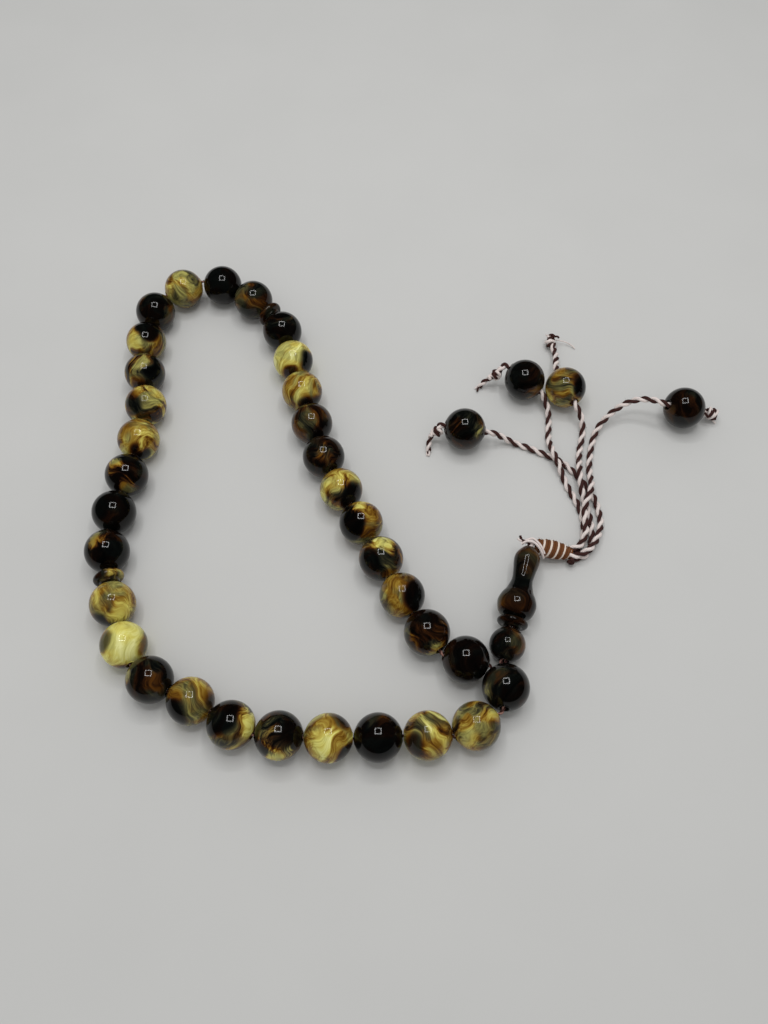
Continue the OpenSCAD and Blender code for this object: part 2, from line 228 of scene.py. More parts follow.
# Strands that cross at the tower's mouth: plies, first ply, thickness, and where each runs
CROSSINGS = [
    (2, 0, 0.0015, [
        (0.027, -0.0184, 0.0048), (0.0273, -0.017, 0.005),
        (0.0284, -0.0164, 0.0046), (0.0296, -0.0168, 0.0039),
    ]),
    (2, 0, 0.0011, [(0.0278, -0.0166, 0.005), (0.0265, -0.0163, 0.0054), (0.0254, -0.0163, 0.0055)]),
    (1, 1, 0.0006, [
        (0.0252, -0.017, 0.0055), (0.0264, -0.0167, 0.0062), (0.0279, -0.017, 0.0062),
        (0.0291, -0.0181, 0.0056), (0.0299, -0.0191, 0.0043), (0.0303, -0.0193, 0.003),
    ]),
    (1, 1, 0.0005, [
        (0.0266, -0.016, 0.0056), (0.0277, -0.0158, 0.0058), (0.0286, -0.0166, 0.006),
        (0.0295, -0.0178, 0.0058), (0.0303, -0.019, 0.0046),
    ]),
    (1, 0, 0.0006, [(0.0254, -0.0163, 0.0055), (0.0251, -0.0158, 0.0058), (0.0249, -0.0153, 0.0062)]),
    (1, 1, 0.0005, [(0.0255, -0.0163, 0.0055), (0.0248, -0.0162, 0.0057), (0.0244, -0.0158, 0.0058)]),
    (1, 0, 0.0008, [
        (0.0368, -0.0196, 0.003), (0.0371, -0.02, 0.0018), (0.0367, -0.0197, 0.001),
        (0.0362, -0.0196, 0.0016), (0.0368, -0.02, 0.0022), (0.0373, -0.0196, 0.0012),
    ]),
]


class Wire:
    """A socket of a node tree. Sums and products of wires and numbers add their Math nodes."""

    def __init__(self, tree, socket=None):
        self.tree = tree
        self.socket = socket

    def node(self, kind, settings=None, sockets=None, output=0):
        """Adds a node of any type: its settings first, then the values or wires of its sockets."""
        made = self.tree.nodes.new(kind)
        for name, value in (settings or {}).items():
            if name == "stops":
                set_stops(made.color_ramp, value)
            else:
                setattr(made, name, value)
        for name, value in (sockets or {}).items():
            if isinstance(value, Wire):
                self.tree.links.new(value.socket, made.inputs[name])
            else:
                made.inputs[name].default_value = value
        return Wire(self.tree, made.outputs[output] if len(made.outputs) else None)

    def maths(self, operation, *others):
        return self.node("ShaderNodeMath", {"operation": operation}, dict(enumerate((self, *others))))

    def vector(self, operation, *others, output=0):
        settings = {"operation": operation}
        return self.node("ShaderNodeVectorMath", settings, dict(enumerate((self, *others))), output)

    def noise(self, scale, detail, distortion=0.0, output=0):
        """Noise at the places that the wire carries."""
        sockets = {"Vector": self, "Scale": scale, "Detail": detail, "Distortion": distortion}
        return self.node("ShaderNodeTexNoise", None, sockets, output)

    def stored(self, name, value, kind="FLOAT"):
        """Geometry with a named attribute on its points."""
        sockets = {"Geometry": self, "Name": name, "Value": value}
        return self.node("GeometryNodeStoreNamedAttribute", {"data_type": kind}, sockets)

    def scaled(self, factor):
        return self.node("ShaderNodeVectorMath", {"operation": "SCALE"}, {0: self, "Scale": factor})

    def between(self, other, share):
        return self.node("ShaderNodeMix", None, {0: share, 2: self, 3: other})

    def blended(self, other, share, kind="MIX"):
        return self.node(
            "ShaderNodeMix", {"data_type": "RGBA", "blend_type": kind}, {0: share, 6: self, 7: other}, 2
        )

    def __add__(self, other):
        return self.maths("ADD", other)

    def __sub__(self, other):
        return self.maths("SUBTRACT", other)

    def __mul__(self, other):
        return self.maths("MULTIPLY", other)

    def __truediv__(self, other):
        return self.maths("DIVIDE", other)


def set_stops(ramp, stops):
    """Gives a colour ramp its stops, each a place from 0 to 1 and a colour."""
    while len(ramp.elements) < len(stops):
        ramp.elements.new(1)
    for element, (place, colour) in zip(ramp.elements, stops):
        element.position = place
        element.color = (*colour, 1)


def seat(node):
    """Middle of a turned piece and the direction of the hole through it."""
    low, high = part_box(node)
    joint = JOINT_OF[node]
    return Vector(joint.get("pos_m") or (low + high) / 2), Vector(joint["axis"])


def reach(node):
    """Where a turned piece starts and ends along its hole, from its seat, and its biggest radius."""
    at, along = seat(node)
    points = [vertex.co - at for vertex in frame["nodes"][node].data.vertices]
    heights = [point.dot(along) for point in points]
    widest = max((point - point.dot(along) * along).length for point in points)
    return min(heights), max(heights), widest


def smooth(points, steps=6):
    """Points along the smooth curve through a list of points."""
    points = [Vector(point) for point in points]
    ends = [2 * points[0] - points[1], *points, 2 * points[-1] - points[-2]]
    line = []
    for a, b, c, d in zip(ends, ends[1:], ends[2:], ends[3:]):
        slope, bend, twist = c - a, 2 * a - 5 * b + 4 * c - d, 3 * b - a - 3 * c + d
        for k in range(steps):
            t = k / steps
            line.append((2 * b + slope * t + bend * t**2 + twist * t**3) / 2)
    return line + [points[-1]]


def length_of(line):
    return sum((b - a).length for a, b in zip(line, line[1:]))


def placed(name, data):
    """New object of the scene, with its curve, mesh, lamp or camera."""
    made = bpy.data.objects.new(name, data)
    bpy.context.scene.collection.objects.link(made)
    return made


def line_object(name, points, closed=False):
    """Curve object through points, for a node tree to work on."""
    curve = bpy.data.curves.new(name, "CURVE")
    curve.dimensions = "3D"
    spline = curve.splines.new("POLY")
    spline.points.add(len(points) - 1)
    for place, point in zip(spline.points, points):
        place.co = (*point, 1)
    spline.use_cyclic_u = closed
    return placed(name, curve)


def grown(name, source, tree, **values):
    """Mesh piece that a node tree makes from a source object, with its inputs by name."""
    modifier = source.modifiers.new(tree.name, "NODES")
    modifier.node_group = tree
    for item in tree.interface.items_tree:
        if item.item_type == "SOCKET" and item.in_out == "INPUT" and item.name in values:
            modifier[item.identifier] = values.pop(item.name)
    if values:
        raise ValueError(f"{tree.name} has no input named {', '.join(values)}")
    evaluated = source.evaluated_get(bpy.context.evaluated_depsgraph_get())
    mesh = bpy.data.meshes.new_from_object(evaluated)
    mesh.name = name
    bpy.data.objects.remove(source)
    return placed(name, mesh)


def node_tree(name, inputs):
    """Empty geometry tree with the named inputs besides its geometry, and its input wires."""
    tree = bpy.data.node_groups.new(name, "GeometryNodeTree")
    tree.interface.new_socket("Geometry", in_out="INPUT", socket_type="NodeSocketGeometry")
    tree.interface.new_socket("Geometry", in_out="OUTPUT", socket_type="NodeSocketGeometry")
    for label, (kind, default) in inputs.items():
        socket = tree.interface.new_socket(label, in_out="INPUT", socket_type=f"NodeSocket{kind}")
        if default is not None:
            socket.default_value = default
    start = tree.nodes.new("NodeGroupInput")
    return tree, {socket.name: Wire(tree, socket) for socket in start.outputs if socket.name}


def finish_tree(tree, geometry, material):
    """Ends a geometry tree with smooth shading, Realize Instances and Set Material."""
    real = geometry.node("GeometryNodeSetShadeSmooth", None, {"Geometry": geometry})
    real = real.node("GeometryNodeRealizeInstances", None, {"Geometry": real})
    real = real.node("GeometryNodeSetMaterial", None, {"Geometry": real, "Material": material})
    real.node("NodeGroupOutput", None, {0: real})


def turned_tree():
    """Sweeps an outline, as a wood turner would, round the hole through a piece."""
    tree, given = node_tree("Turned piece", {
        "Hole radius": ("Float", 0.0009), "Sides": ("Int", 80),
        "Foot": ("Vector", None), "Direction": ("Vector", None), "Material": ("Material", None),
    })
    start = Wire(tree)
    ring = start.node(
        "GeometryNodeCurvePrimitiveCircle", None,
        {"Resolution": given["Sides"], "Radius": given["Hole radius"]},
    )
    ring = start.node("GeometryNodeSetCurveNormal", {"mode": "Z_UP"}, {"Curve": ring})
    shell = start.node(
        "GeometryNodeCurveToMesh", None, {"Curve": ring, "Profile Curve": given["Geometry"]}
    )
    aimed = start.node("FunctionNodeAlignRotationToVector", {"axis": "Z"}, {"Vector": given["Direction"]})
    seated = start.node(
        "GeometryNodeTransform", None,
        {"Geometry": shell, "Translation": given["Foot"], "Rotation": aimed},
    )
    finish_tree(tree, seated, given["Material"])
    return tree


def strand_tree(name, plies):
    """Twists plies of yarn round the source curve, with stray fibres on them."""
    tree, given = node_tree(name, {
        "Ply diameter": ("Float", 0.00085), "Ply offset": ("Float", 0.00038), "Lay": ("Float", 0.0044),
        "Step": ("Float", 0.00018), "First turn": ("Float", 0.0), "First ply": ("Float", 0.0),
        "Fibres": ("Float", 4e5), "Fibre seed": ("Int", 1), "Material": ("Material", None),
    })
    start = Wire(tree)
    path = start.node(
        "GeometryNodeResampleCurve", {"mode": "LENGTH"},
        {"Curve": given["Geometry"], "Length": given["Step"]},
    )
    run = start.node("GeometryNodeSplineParameter", output="Length")
    normal = start.node("GeometryNodeInputNormal")
    tangent = start.node("GeometryNodeInputTangent")
    side = tangent.vector("CROSS_PRODUCT", normal)
    round_yarn = start.node(
        "GeometryNodeCurvePrimitiveCircle", None, {"Resolution": 10, "Radius": given["Ply diameter"] / 2}
    )
    around = start.node("GeometryNodeInputPosition").vector("NORMALIZE")
    round_yarn = round_yarn.stored("around", around, "FLOAT_VECTOR")
    tubes = []
    for ply in range(plies):
        angle = run / given["Lay"] * FULL_TURN + given["First turn"] + ply * math.pi
        shift = normal.scaled(angle.maths("COSINE") * given["Ply offset"]).vector(
            "ADD", side.scaled(angle.maths("SINE") * given["Ply offset"])
        )
        curl = start.node("GeometryNodeSetPosition", None, {"Geometry": path, "Offset": shift})
        tube = start.node(
            "GeometryNodeCurveToMesh", None,
            {"Curve": curl.stored("along", run), "Profile Curve": round_yarn, "Fill Caps": True},
        )
        tubes.append(tube.stored("ply", given["First ply"] + ply))
    body = together(start, tubes)
    whole = together(start, [body, stray_fibres(start, body, given)])
    finish_tree(tree, whole, given["Material"])
    return tree


def together(start, parts):
    """Joins the geometry of several wires."""
    whole = start.node("GeometryNodeJoinGeometry")
    for part in parts:
        start.tree.links.new(part.socket, whole.socket.node.inputs[0])
    return whole


def stray_fibres(start, body, given):
    """Short bent fibres that stand out of the yarn at random places."""
    spread = start.node(
        "GeometryNodeDistributePointsOnFaces", None,
        {"Mesh": body, "Density": given["Fibres"], "Seed": given["Fibre seed"]},
    )
    upright = Wire(start.tree, spread.socket.node.outputs["Rotation"])
    bent = start.node(
        "GeometryNodeCurveQuadraticBezier", None,
        {"Resolution": 3, "Start": (0, 0, 0), "Middle": (3e-5, 0, 18e-5), "End": (22e-5, 0, 26e-5)},
    )
    fine = start.node("GeometryNodeCurvePrimitiveCircle", None, {"Resolution": 3, "Radius": 0.000014})
    hair = start.node(
        "GeometryNodeCurveToMesh", None, {"Curve": bent, "Profile Curve": fine, "Fill Caps": True}
    )
    turn = start.node(
        "FunctionNodeRandomValue", {"data_type": "FLOAT_VECTOR"},
        {"Min": (-0.9, -0.9, 0), "Max": (0.9, 0.9, FULL_TURN), "Seed": given["Fibre seed"]},
    )
    turned = start.node("FunctionNodeRotateRotation", {"rotation_space": "LOCAL"}, {0: upright, 1: turn})
    size = start.node(
        "FunctionNodeRandomValue", {"data_type": "FLOAT"},
        {2: 0.5, 3: 1.6, "Seed": given["Fibre seed"]}, output=1,
    )
    return start.node(
        "GeometryNodeInstanceOnPoints", None,
        {"Points": spread, "Instance": hair, "Rotation": turned, "Scale": size},
    )


def new_material(name):
    """Empty material, with a wire to start its tree from."""
    material = bpy.data.materials.new(name)
    material.use_nodes = True
    material.node_tree.nodes.clear()
    return material, Wire(material.node_tree)


def surface(start, sockets):
    """Ends a material with its shader."""
    shader = start.node("ShaderNodeBsdfPrincipled", None, sockets)
    shader.node("ShaderNodeOutputMaterial", None, {"Surface": shader})


# Tones of the resin: from black through brown and amber to cream, and another way by grey-green
WARM = [
    (0.0, (0.0008, 0.0008, 0.0007)), (0.18, (0.004, 0.002, 0.0014)), (0.32, (0.024, 0.0085, 0.003)),
    (0.44, (0.085, 0.031, 0.005)), (0.55, (0.19, 0.092, 0.01)), (0.66, (0.33, 0.21, 0.032)),
    (0.78, (0.53, 0.43, 0.085)), (0.9, (0.72, 0.66, 0.16)), (1.0, (0.86, 0.83, 0.34)),
]
COOL = [
    (0.0, (0.0008, 0.001, 0.001)), (0.2, (0.003, 0.0045, 0.004)), (0.38, (0.018, 0.023, 0.014)),
    (0.52, (0.075, 0.078, 0.033)), (0.68, (0.25, 0.24, 0.075)), (0.84, (0.55, 0.53, 0.16)),
    (1.0, (0.84, 0.82, 0.36)),
]


def facing(middle, x, y):
    """Direction on a piece at x to the right and y up, for who looks at it from the camera's place."""
    near = (CAMERA_AT - middle).normalized()
    right = Vector((0, 1, 0)).cross(near).normalized()
    return x * right + y * near.cross(right) + math.sqrt(max(0, 1 - x * x - y * y)) * near


def resin(node, looks):
    """Polished marbled resin: flame-like streaks that swirl, and patches of tone on the upper side, one of them a
    painted glint on bead_09.
    """
    tone, streak, angle, patches = MARBLING_AND_PAINTED_GLINT[node]
    seed = list(MARBLING_AND_PAINTED_GLINT).index(node) + 1
    low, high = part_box(node)
    middle, radius = (low + high) / 2, max(high - low) / 2
    right, up, near = (facing(middle, *place) for place in ((1, 0), (0, 1), (0, 0)))
    run = math.cos(math.radians(angle)) * right + math.sin(math.radians(angle)) * up
    material, start = new_material(f"marbled_{node}")
    place = start.node("ShaderNodeTexCoord", output="Object")
    on_piece = start.node(
        "ShaderNodeMapping", {"vector_type": "TEXTURE"},
        {"Vector": place, "Location": middle, "Scale": (radius, radius, radius)},
    )
    shifted = on_piece.vector("ADD", [seed * step for step in SEED_STEP])
    drift = shifted.noise(scale=0.8, detail=1.0, output="Color").vector("SUBTRACT", (0.5, 0.5, 0.5))
    swirled = shifted.vector("ADD", drift.scaled(looks.swirl))
    lined = start.node(
        "ShaderNodeMapping", None,
        {"Vector": swirled, "Rotation": Matrix((run, near.cross(run), near)).to_euler()},
    ).vector("MULTIPLY", STREAK_STRETCH)
    streaks = lined.noise(scale=1.0, detail=1.6, distortion=0.5) - 0.5
    fine = lined.noise(scale=5.0, detail=3.0, distortion=0.9) - 0.5
    lines = streaks * (GROUND_STREAKS * streak) + fine * (GROUND_LINES * streak)
    value = lines + tone
    edge = on_piece.vector("ADD", drift.scaled(EDGE_DRIFT))
    for x, y, wide, shade in patches:
        reached = edge.vector("DOT_PRODUCT", facing(middle, x, y), output="Value")
        reached = reached + streaks * EDGE_STREAKS + fine * EDGE_LINES
        border = math.cos(wide)
        inside = start.node(
            "ShaderNodeMapRange", {"interpolation_type": "SMOOTHSTEP"},
            {"Value": reached, "From Min": border - EDGE_OUTSIDE, "From Max": border + EDGE_INSIDE},
        )
        value = value.between(lines * PATCH_LINES + shade, inside)
    warm = start.node("ShaderNodeValToRGB", {"stops": WARM}, {"Fac": value})
    cool = start.node("ShaderNodeValToRGB", {"stops": COOL}, {"Fac": value})
    tint = swirled.noise(scale=1.1, detail=1.0)
    tint = start.node("ShaderNodeMapRange", None, {"Value": tint, "From Min": 0.44, "From Max": 0.6})
    grain = on_piece.noise(scale=9.0, detail=2.0)
    surface(start, {
        "Base Color": warm.blended(cool, tint * COOL_SHARE), "Roughness": grain * 0.05 + looks.roughness,
        "IOR": RESIN_IOR,
    })
    return material


def yarn(name, dark, pale):
    """Twisted yarn: a dark ply and a pale ply, each of fine fibres that run round it, with painted shade in the
    grooves between the fibres.
    """
    material, start = new_material(name)
    ply = start.node("ShaderNodeAttribute", {"attribute_name": "ply"}, output="Fac")
    along = start.node("ShaderNodeAttribute", {"attribute_name": "along"}, output="Fac")
    around = start.node("ShaderNodeAttribute", {"attribute_name": "around"}, output="Vector")
    parts = start.node("ShaderNodeSeparateXYZ", None, {0: around})
    down = Wire(start.tree, parts.socket.node.outputs[1])
    twist = down.maths("ARCTAN2", parts) * FIBRES_ACROSS + along * (FULL_TURN / FIBRE_LAY)
    ridge = twist.maths("SINE") * 0.5 + 0.5
    place = start.node("ShaderNodeTexCoord", output="Object")
    fuzz = place.noise(scale=9000.0, detail=3.0)
    patch = place.noise(scale=700.0, detail=2.0)
    mixed = start.node("ShaderNodeMix", {"data_type": "RGBA"}, {0: ply, 6: (*dark, 1), 7: (*pale, 1)}, 2)
    # The fibres' ridges, which also raise the bump, darken the colour in the grooves between them: painted shade.
    # Fuzz and wider patches add random tone.
    shade = ridge * PAINTED_GROOVE_SHADE + fuzz * FUZZ_SHADE + patch * PATCH_SHADE + LEAST_SHADE
    colour_with_groove_shade = mixed.blended(shade, 1.0, "MULTIPLY")
    height = ridge * 0.6 + fuzz * 0.5
    bump = start.node("ShaderNodeBump", None, {"Height": height, "Strength": 0.6, "Distance": 0.00005})
    surface(start, {
        "Base Color": colour_with_groove_shade, "Roughness": fuzz * 0.15 + 0.68, "Specular IOR Level": 0.3, "Normal": bump,
    })
    return material


# Marbling of each piece: its ground tone, how strong its streaks are, how far they are turned, and
# patches, each at a place to the right and up as it lies, with an angular size and a tone; the small
# pale patch at bead_09's far left edge is a painted glint
MARBLING_AND_PAINTED_GLINT = {
    "bead_01": (0.14, 0.4, 60, [(-0.6, 0.5, 0.4, 0.32), (-0.93, -0.05, 0.2, 0.66)]),
    "bead_02": (0.5, 0.7, 45, [(-0.6, -0.45, 0.4, 0.68), (0.85, 0.1, 0.3, 0.68)]),
    "bead_03": (0.66, 0.9, -30, [(-0.5, -0.45, 0.5, 0.26), (0.3, -0.7, 0.4, 0.6)]),
    "bead_04": (0.1, 0.3, 0, [(0, 0.8, 0.35, 0.36)]),
    "bead_05": (0.68, 0.8, 60, [
        (0.45, 0.75, 0.45, 0.24), (0.7, -0.6, 0.3, 0.12), (-0.2, -0.2, 0.35, 0.82),
    ]),
    "bead_06": (0.3, 0.9, 40, [(-0.7, -0.2, 0.4, 0.58), (0.65, 0.1, 0.5, 0.1), (0, -0.9, 0.25, 0.72)]),
    "bead_07": (0.5, 0.7, 60, [(-0.5, 0.4, 0.85, 0.12), (0.72, 0.1, 0.62, 0.9), (0, -0.9, 0.35, 0.66)]),
    "bead_08": (0.58, 0.7, -45, [(0.9, 0.1, 0.4, 0.3), (-0.6, -0.6, 0.6, 0.1)]),
    # bead_09's small pale patch at its far left edge is a painted glint
    "bead_09": (0.2, 0.5, -60, [(0.35, -0.1, 0.45, 0.36), (-0.97, 0.1, 0.15, 0.62)]),
    "bead_10": (0.9, 0.4, 70, [(-0.85, 0.15, 0.42, 0.5), (0.9, 0.1, 0.4, 0.46), (0.1, -0.95, 0.25, 0.3)]),
    "bead_11": (0.58, 0.6, -35, [
        (-0.75, 0.1, 0.35, 0.74), (-0.4, -0.85, 0.35, 0.14), (0.45, -0.4, 0.42, 0.84),
    ]),
    "bead_12": (0.12, 0.5, 80, [(-0.55, 0.6, 0.4, 0.58)]),
    "bead_13": (0.12, 0.4, 60, [(0.85, 0.1, 0.25, 0.34)]),
    "bead_14": (0.14, 0.5, -20, [(-0.8, 0.2, 0.25, 0.62), (0.1, -0.55, 0.16, 0.5)]),
    "bead_15": (0.66, 0.8, 30, [(-0.6, 0.6, 0.45, 0.54), (0.1, -0.6, 0.3, 0.2), (0.4, 0.1, 0.35, 0.8)]),
    "bead_16": (0.52, 1.0, -30, [(-0.65, 0, 0.5, 0.26), (0.5, 0.6, 0.4, 0.68)]),
    "bead_17": (0.4, 0.9, 80, [(-0.4, 0.5, 0.6, 0.68), (0.5, -0.5, 0.6, 0.28)]),
    "bead_18": (0.58, 0.7, 75, [(-0.1, 0.75, 0.55, 0.08), (-0.75, -0.1, 0.35, 0.76)]),
    "bead_19": (0.22, 0.6, 60, [(0.75, 0.1, 0.5, 0.36)]),
    "bead_20": (0.58, 0.7, -20, [(0.5, -0.6, 0.4, 0.42)]),
    "bead_21": (0.1, 0.3, 0, []),
    "bead_22": (0.3, 0.7, -30, [(-0.7, 0.1, 0.45, 0.44)]),
    "bead_23": (0.2, 0.6, 20, [(0.6, -0.6, 0.4, 0.36)]),
    "bead_24": (0.84, 0.7, 80, [(0.75, 0, 0.5, 0.14), (0, -0.8, 0.5, 0.24)]),
    "bead_25": (0.64, 0.7, 60, [(0.5, -0.7, 0.5, 0.18)]),
    "bead_26": (0.32, 0.7, -50, [(0.6, -0.5, 0.6, 0.12), (-0.1, 0.3, 0.35, 0.42)]),
    "bead_27": (0.24, 0.6, 60, [(0, 0.1, 0.42, 0.5), (0, -0.8, 0.3, 0.4)]),
    "bead_28": (0.6, 0.9, 50, [(0.6, -0.4, 0.65, 0.14), (-0.3, 0.4, 0.4, 0.78)]),
    "bead_29": (0.52, 0.7, 30, [(-0.7, 0, 0.8, 0.06), (0.1, 0.85, 0.35, 0.8)]),
    "bead_30": (0.34, 0.9, -30, [(0.1, 0.75, 0.45, 0.84), (-0.5, -0.1, 0.5, 0.12)]),
    "bead_31": (0.54, 0.7, 60, [(0.75, 0, 0.7, 0.12)]),
    "bead_32": (0.28, 0.8, -60, [(0, 0.75, 0.6, 0.16), (0.5, -0.75, 0.3, 0.72)]),
    "bead_33": (0.14, 0.4, 75, []),
    "tassel_bead_1": (0.22, 0.7, 75, [(0.85, 0, 0.24, 0.66)]),
    "tassel_bead_2": (0.16, 0.4, 0, [(0.55, -0.65, 0.25, 0.44)]),
    "tassel_bead_3": (0.6, 0.8, -35, [(0.8, 0.05, 0.6, 0.08), (-0.6, 0.3, 0.4, 0.5)]),
    "tassel_bead_4": (0.17, 0.4, 80, [(-0.8, 0, 0.4, 0.3)]),
    "separator_disc_1": (0.45, 0.8, 0, [(0.5, 0, 0.6, 0.68), (-0.6, 0, 0.5, 0.24)]),
    "separator_disc_2": (0.28, 0.5, 45, []),
    "ball": (0.26, 0.6, 90, [(-0.5, 0.2, 0.6, 0.14), (0.65, 0.1, 0.55, 0.4)]),
    "collar": (0.26, 0.4, 0, []),
    "tower": (0.22, 0.6, 80, [(-0.98, 0.1, 1.1, 0.42), (0.9, 0.3, 1.32, 0.38)]),
}


def turned_piece(node, foot, outline, hole, looks):
    """Turns one piece round its hole, from its foot up, and gives it its marbling and its body."""
    name = f"turned_{node}"
    source = line_object(name, [(radius - hole, -height, 0) for radius, height in outline], closed=True)
    tree = bpy.data.node_groups.get("Turned piece") or turned_tree()
    piece = grown(name, source, tree, **{
        "Hole radius": hole, "Sides": looks.sides, "Foot": foot, "Direction": seat(node)[1],
        "Material": resin(node, looks),
    })
    close_up(piece)
    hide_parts(node)
    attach(piece, BODY_OF[node])


def close_up(piece):
    """Merges doubled points and turns every face outwards."""
    work = bmesh.new()
    work.from_mesh(piece.data)
    bmesh.ops.remove_doubles(work, verts=work.verts, dist=1e-7)
    bmesh.ops.recalc_face_normals(work, faces=work.faces)
    work.to_mesh(piece.data)
    work.free()


def arc(middle, radius, start, end, steps):
    """Points of a round edge, from one angle to another, in degrees up from straight out."""
    return [
        (middle[0] + radius * math.cos(a), middle[1] + radius * math.sin(a))
        for a in (math.radians(start + (end - start) * k / steps) for k in range(steps + 1))
    ]


def round_outline(radius, hole, mouth):
    """Outline of a round bead: its ball, and an eased edge where the hole comes out."""
    top = math.degrees(math.asin(math.sqrt(1 - ((hole + mouth) / radius) ** 2)))
    rim = (hole + mouth, radius * math.sin(math.radians(top)) - mouth * 0.8)
    upper = arc(rim, mouth, 60, 180, 5)
    lower = [(r, -h) for r, h in reversed(upper)]
    return arc((0, 0), radius, -top, top, BEAD_STEPS) + upper + lower


def button_outline(radius, thick, hole):
    """Outline of a disc: a rounded rim that steps down from a low boss on each face."""
    rim = RIM_SHARE * thick
    boss = BOSS_SHARE * radius
    level = thick / 2 - DISC_EASE
    edge = arc((radius - rim, 0), rim, -90, 90, 16)
    step = [(boss + out, rim + up) for out, up in DISC_STEP]
    face = arc((boss - DISC_EASE, level), DISC_EASE, 0, 90, 3)
    mouth = arc((hole + DISC_EASE, level), DISC_EASE, 90, 180, 3)
    upper = step + face + mouth
    return edge + upper + [(r, -h) for r, h in reversed(upper)]


def tower_outline(hole, settings):
    """Outline of the tower, from its foot up to its top and back down the hole."""
    long = settings.tower_length
    outside = [(r * settings.tower_width / 2, h * long) for r, h in TOWER_SHAPE]
    curve = [(point.x, point.y) for point in smooth([(r, h, 0) for r, h in outside], 5)]
    return [(hole + TOWER_RIM, 0), *curve, (hole, long - TOWER_RIM), (hole, TOWER_RIM)]


def length(name, description, default):
    """Setting that holds a length in metres."""
    return FloatProperty(name=name, description=description, default=default, unit="LENGTH")


def colour(name, description, default):
    """Setting that holds a colour."""
    return FloatVectorProperty(
        name=name, description=description, default=default, size=3, subtype="COLOR"
    )


class BeadLooks(PropertyGroup):
    """Sizes and polish of the beads and of the turned pieces."""

    hole: length("Hole", "Diameter of the hole through a bead", 0.0018)
    tassel_hole: length("Tassel bead hole", "Diameter of the hole through a tassel bead", 0.0022)
    tower_hole: length("Tower hole", "Diameter of the hole through the ball, collar and tower", 0.0023)
    tower_length: length("Tower length", "Length of the turned tower", 0.017)
    tower_width: length("Tower width", "Diameter of the tower's belly", 0.0086)
    mouth: length("Eased edge", "Radius of the edge where a hole comes out", 0.00025)
    sides: IntProperty(name="Sides", description="Faces round a turned piece", default=104, min=24)
    roughness: FloatProperty(
        name="Roughness", description="Roughness of the polished resin", default=0.06, subtype="FACTOR"
    )
    swirl: FloatProperty(
        name="Swirl", description="How far the streaks in the resin swirl", default=1.9, min=0
    )


class CordLooks(PropertyGroup):
    """Sizes and colours of the cords, the string and the winding."""

    cord: length("Cord", "Diameter of a tassel cord", 0.0016)
    string: length("String", "Diameter of the string through the beads", 0.0008)
    lay: length("Lay", "Length of one full twist of a tassel cord", 0.0044)
    dark: colour("Dark ply", "Colour of the dark ply", (0.048, 0.013, 0.01))
    pale: colour("Pale ply", "Colour of the pale ply", (0.78, 0.69, 0.66))
    string_pale: colour("String's pale ply", "Colour of the loop string's pale ply", (0.3, 0.16, 0.13))
    band: colour("Wide winding", "Colour of the winding's wide thread", (0.155, 0.052, 0.013))
    thread: colour("Thin winding", "Colour of the winding's thin thread", (0.8, 0.69, 0.6))
    turns: FloatProperty(name="Turns", description="Turns of the winding", default=5, min=1)
    fibres: FloatProperty(
        name="Stray fibres", description="Stray fibres on a square metre of yarn", default=8e5, min=0
    )


class StageLooks(PropertyGroup):
    """Light and floor."""

    ring_side: length("Lamp side", "Side of the square ring lamp", 0.235)
    ring_watts: FloatProperty(
        name="Lamp power", description="Power of each side of the ring lamp", default=0.27, unit="POWER"
    )
    fill_watts: FloatProperty(
        name="Fill power", description="Power of the wide soft lamp", default=1.2, unit="POWER"
    )
    floor: colour("Floor", "Colour of the floor", (0.62, 0.62, 0.61))


class MISBAHA_OT_camera(Operator):
    """Camera above the near edge of the string, looking down on it."""

    bl_idname = "misbaha.camera"
    bl_label = "Camera"

    def execute(self, context):
        camera = bpy.data.cameras.new("camera")
        camera.lens = FOCAL_MM
        camera.sensor_width = SENSOR_MM
        camera.sensor_fit = "AUTO"
        camera.clip_start = CLIP_START
        holder = placed("camera", camera)
        holder.location = CAMERA_AT
        holder.rotation_euler = (CAMERA_TILT, 0, 0)
        context.scene.camera = holder
        return {"FINISHED"}


class MISBAHA_OT_tassel_cords(Operator):
    """The four twisted tassel cords, each with its end knot."""

    bl_idname = "misbaha.tassel_cords"
    bl_label = "Tassel cords"

    def execute(self, context):
        looks = context.scene.misbaha_cords
        tree = strand_tree("Two-ply cord", 2)
        strand_tree("Single yarn", 1)
        twisted = yarn("cord_yarn", looks.dark, looks.pale)
        for number, (route, tail) in enumerate(zip(TASSEL_ROUTES, TAILS), 1):
            path = smooth(route)
            cord = twisted_piece(f"twisted_cord_{number}", path, tree, looks.cord, looks, {
                "Lay": looks.lay, "First turn": CORD_TURN * number, "Fibre seed": number,
                "Material": twisted,
            })
            knot = end_knot(number, Vector(route[-2]), tail, tree, twisted, looks)
            for piece, node in ((cord, f"tassel_cord_{number}"), (knot, f"end_knot_{number}")):
                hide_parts(node)
                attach(piece, BODY_OF[node])
            length_of(path)
        return {"FINISHED"}


class MISBAHA_OT_loop_string(Operator):
    """The thin twisted string that runs through every bead of the loop and up through the tower."""

    bl_idname = "misbaha.loop_string"
    bl_label = "Loop string"

    def execute(self, context):
        looks = context.scene.misbaha_cords
        path = smooth(string_line(), 5)
        tree = strand_tree("Loop string", 2)
        string = twisted_piece("twisted_string", path, tree, looks.string, looks, {
            "Lay": looks.lay * STRING_LAY, "Step": STRING_STEP, "Fibres": 0.0,
            "Material": yarn("string_yarn", looks.dark, looks.string_pale),
        })
        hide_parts("loop_string")
        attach(string, BODY_OF["loop_string"])
        return {"FINISHED"}


